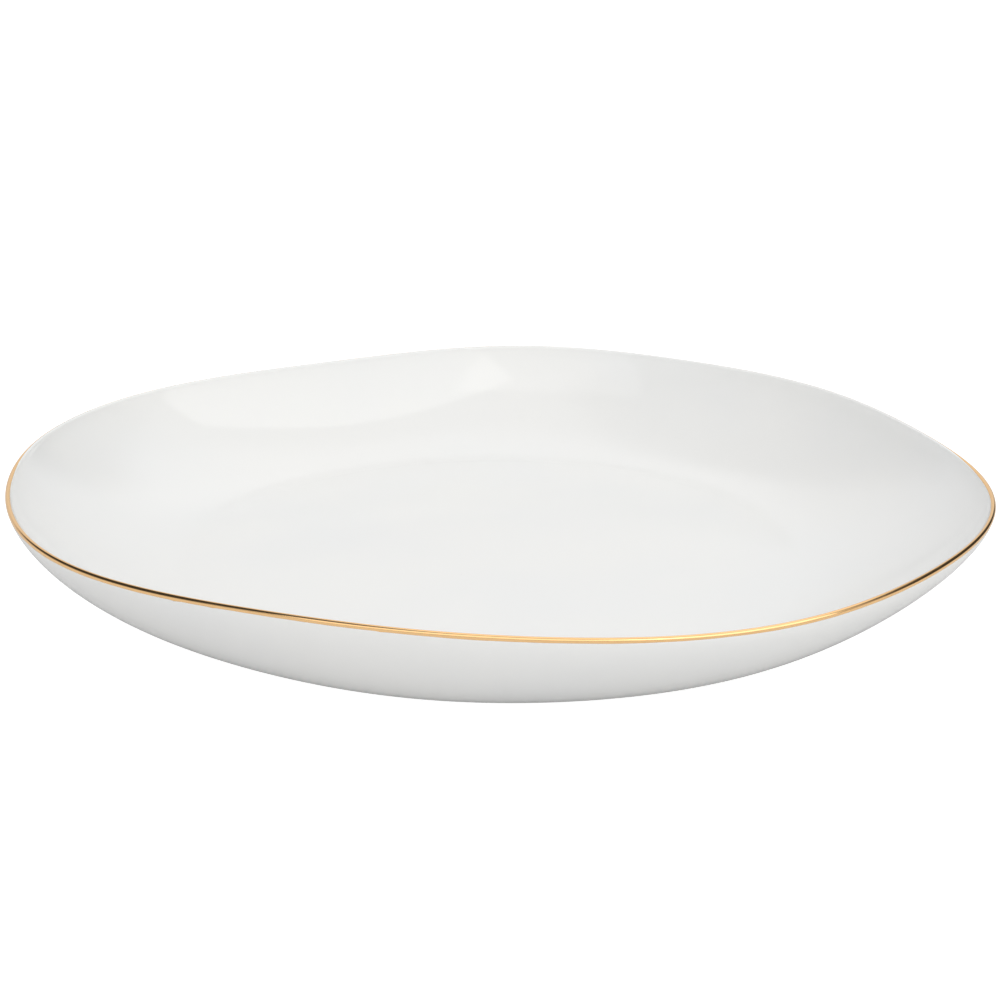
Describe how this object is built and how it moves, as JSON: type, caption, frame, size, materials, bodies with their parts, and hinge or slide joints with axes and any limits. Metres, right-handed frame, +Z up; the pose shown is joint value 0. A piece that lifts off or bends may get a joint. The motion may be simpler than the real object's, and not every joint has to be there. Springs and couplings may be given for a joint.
{
  "type": "china serving platter",
  "caption": "Shallow round-bottomed serving platter in fine white china, with a pebble-shaped level rim, a gold line over the lip and a low round foot ring.",
  "frame": {"origin": "on the table, under the middle of the rim's outline box", "axes": "+Z up out of the dish; +X along the platter's longer side; +Y across it, away from the front"},
  "size_m": [0.3566, 0.3169, 0.042],
  "materials": {
    "china": "fine white biscuit-fired bone china, dry and slightly grainy, bare only on the foot ring's resting edge",
    "clear_glaze": "clear glossy glaze over white china, with faint hand-made waviness",
    "bright_gold": "bright burnished gold line, hand-lined over the glaze"
  },
  "bodies": {
    "root": {"china_body": "china", "face_glaze": "clear_glaze", "back_glaze": "clear_glaze", "foot_well_glaze": "clear_glaze", "gold_rim_line": "bright_gold"}
  },
  "joints": []
}
